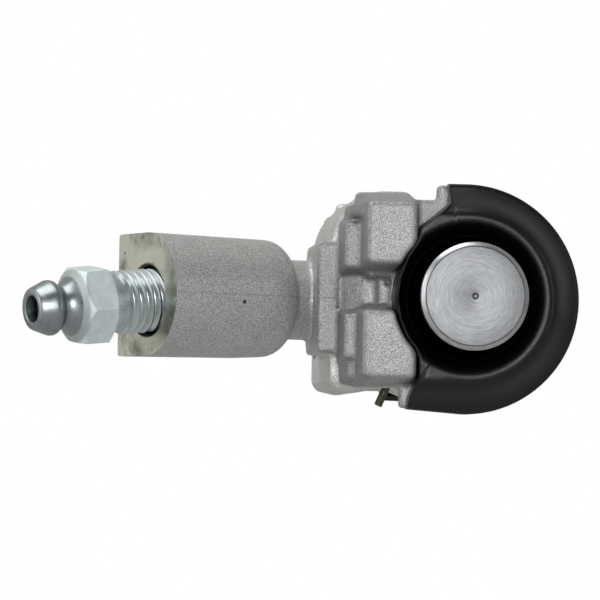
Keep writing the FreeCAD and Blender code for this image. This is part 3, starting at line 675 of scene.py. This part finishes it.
# Return spring. Round steel wire coiled cold, four turns, resting on the two expanders. It is built as two
# halves that meet in the middle of the bore, because each end follows its own piston.
spring_wire, tree, shader = make_material("spring_wire", (0.3, 0.3, 0.3), 0.95, 0.35)
drawn = noise(tree, object_place(tree), 1100.0, 2.0, 0.5)
wire(tree, (ramp(tree, drawn, 0.3, 0.7, (0.22, 0.22, 0.225), (0.36, 0.36, 0.365)),
            shader.inputs["Base Color"]),
     (spread(tree, drawn, 0.3, 0.7, 0.25, 0.45), shader.inputs["Roughness"]))
coil_r, wire_r, half_length = 0.0052, 0.00054, 6.58
coil_steps, steps_per_turn, wire_sides = 96, 48, 12
for side, end in ((-1, "near"), (1, "far")):
    bm = bmesh.new()
    loops = []
    for i in range(coil_steps + 1):
        angle = side * math.tau * i / steps_per_turn
        out = Vector((math.cos(angle), 0.0, math.sin(angle)))
        middle = in_bore(0.0, side * half_length * i / coil_steps, 0.0) + out * coil_r
        loop = []
        for j in range(wire_sides):
            around = math.tau * j / wire_sides
            loop.append(bm.verts.new(middle + (out * math.cos(around)
                                               + Vector((0.0, math.sin(around), 0.0))) * wire_r))
        loops.append(loop)
    for a, b in zip(loops, loops[1:]):
        for j in range(wire_sides):
            bm.faces.new((a[j], a[j - 1], b[j - 1], b[j]))
    for ring in (loops[0], loops[-1]):
        bm.faces.new(ring)
    bmesh.ops.recalc_face_normals(bm, faces=bm.faces)
    for face in bm.faces:
        face.smooth = len(face.verts) == 4
    coil = object_from(bm, "spring_half_" + end, spring_wire)
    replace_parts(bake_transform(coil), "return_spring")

# Cup seals and expanders. The cups are moulded rubber and the expanders pressed from sheet steel. They lie
# loose and hidden in the bore, so the CAD pieces stay as they are and only take the look of their material.
seal_rubber, tree, shader = make_material("seal_rubber", (0.015, 0.015, 0.016), 0.0, 0.45)
bloom = noise(tree, object_place(tree), 600.0, 3.0, 0.6)
wire(tree, (ramp(tree, bloom, 0.3, 0.7, (0.01, 0.01, 0.011), (0.03, 0.03, 0.031)),
            shader.inputs["Base Color"]),
     (spread(tree, bloom, 0.3, 0.7, 0.4, 0.55), shader.inputs["Roughness"]))
sheet_steel, tree, shader = make_material("sheet_steel", (0.5, 0.5, 0.51), 0.95, 0.35)
sheet_marks = noise(tree, object_place(tree), 800.0, 2.0, 0.5, (0.2, 1.0, 1.0))
wire(tree, (ramp(tree, sheet_marks, 0.3, 0.7, (0.42, 0.42, 0.43), (0.56, 0.56, 0.57)),
            shader.inputs["Base Color"]),
     (spread(tree, sheet_marks, 0.3, 0.7, 0.28, 0.45), shader.inputs["Roughness"]))
for node, look in (("cup_seal_near", seal_rubber), ("cup_seal_far", seal_rubber),
                   ("cup_expander_near", sheet_steel), ("cup_expander_far", sheet_steel)):
    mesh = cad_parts[node].data
    mesh.materials.clear()
    mesh.materials.append(look)

# Floor and backdrop of the photo studio: a plain pale sheet of paper well below the part, and a pale room
# that is darker below and in front. The camera sees both as plain white.


def seen_as(tree, lit, plain, output):
    # The camera meets the plain shader, every other ray the lit one.
    ray = add(tree, "ShaderNodeLightPath")
    swap = add(tree, "ShaderNodeMixShader")
    wire(tree, (ray.outputs["Is Camera Ray"], swap.inputs["Fac"]), (lit, swap.inputs[1]),
         (plain, swap.inputs[2]), (swap.outputs["Shader"], tree.nodes[output].inputs["Surface"]))


paper, tree, shader = make_material("paper", (0.5, 0.5, 0.5), 0.0, 0.9)
glow = add(tree, "ShaderNodeEmission", Strength=1.0)
seen_as(tree, shader.outputs["BSDF"], glow.outputs["Emission"], "Material Output")
sheet = bmesh.new()
bmesh.ops.create_grid(sheet, x_segments=1, y_segments=1, size=2.0, matrix=Matrix.Translation((0, 0, -0.14)))
floor = object_from(sheet, "floor", paper)

world = bpy.data.worlds.new("studio")
bpy.context.scene.world = world
world.use_nodes = True
tree = world.node_tree
room = tree.nodes["Background"]
room.inputs["Color"].default_value = (1.0, 1.0, 0.965, 1.0)
way_x, way_y, way_z = split_xyz(tree, add(tree, "ShaderNodeTexCoord").outputs["Generated"])
brightness = combine(tree, "ADD", spread(tree, way_y, -0.6, 0.5, 0.13, 0.5),
                     spread(tree, way_x, -1.0, -0.3, 0.22, 0.0))
brightness = combine(tree, "MULTIPLY", brightness, spread(tree, way_z, -0.9, 0.2, 0.35, 1.0))
wire(tree, (brightness, room.inputs["Strength"]))
white = add(tree, "ShaderNodeBackground", Strength=1.0)
white.inputs["Color"].default_value = (*WHITE, 1.0)
seen_as(tree, room.outputs["Background"], white.outputs["Background"], "World Output")

# Soft boxes of the studio: one above, one beside the camera and one at each side. All of them face the part.


def soft_box(name, place, width, height, power):
    lamp = bpy.data.lights.new(name, "AREA")
    lamp.shape = "RECTANGLE"
    lamp.size = width
    lamp.size_y = height
    lamp.energy = power
    made = bpy.data.objects.new(name, lamp)
    made.location = place
    made.rotation_euler = (-Vector(place)).to_track_quat("-Z", "Y").to_euler()
    bpy.context.scene.collection.objects.link(made)


soft_box("top_box", (-0.2, -0.1, 0.7), 0.6, 0.5, 3.2)
soft_box("front_box", (-0.05, -0.95, 0.12), 0.42, 0.42, 4.3)
soft_box("right_box", (0.75, -0.55, 0.1), 0.1, 0.7, 0.7)
soft_box("left_box", (-0.7, -0.2, 0.12), 0.7, 0.7, 2.4)

# Camera: a long lens a little to the left of the bore's axis and a little below it, as the photo shows. It
# stands 0.6 m away and is rolled by less than a degree.
pan, rise, roll = math.radians(5.4), math.radians(2.4), math.radians(0.9)
look = Vector((math.sin(pan) * math.cos(rise), math.cos(pan) * math.cos(rise), math.sin(rise)))
aim = in_bore(-25.3, -15.0, -0.32)
lens = bpy.data.cameras.new("camera")
lens.lens = 227.2
lens.sensor_width = 36.0
lens.clip_start = 0.05
lens.clip_end = 20.0
camera = bpy.data.objects.new("camera", lens)
camera.matrix_world = (Matrix.Translation(aim - look * 0.6)
                       @ look.to_track_quat("-Z", "Y").to_matrix().to_4x4() @ Matrix.Rotation(roll, 4, "Z"))
bpy.context.scene.collection.objects.link(camera)
bpy.context.scene.camera = camera
bpy.context.scene.view_settings.view_transform = "Standard"
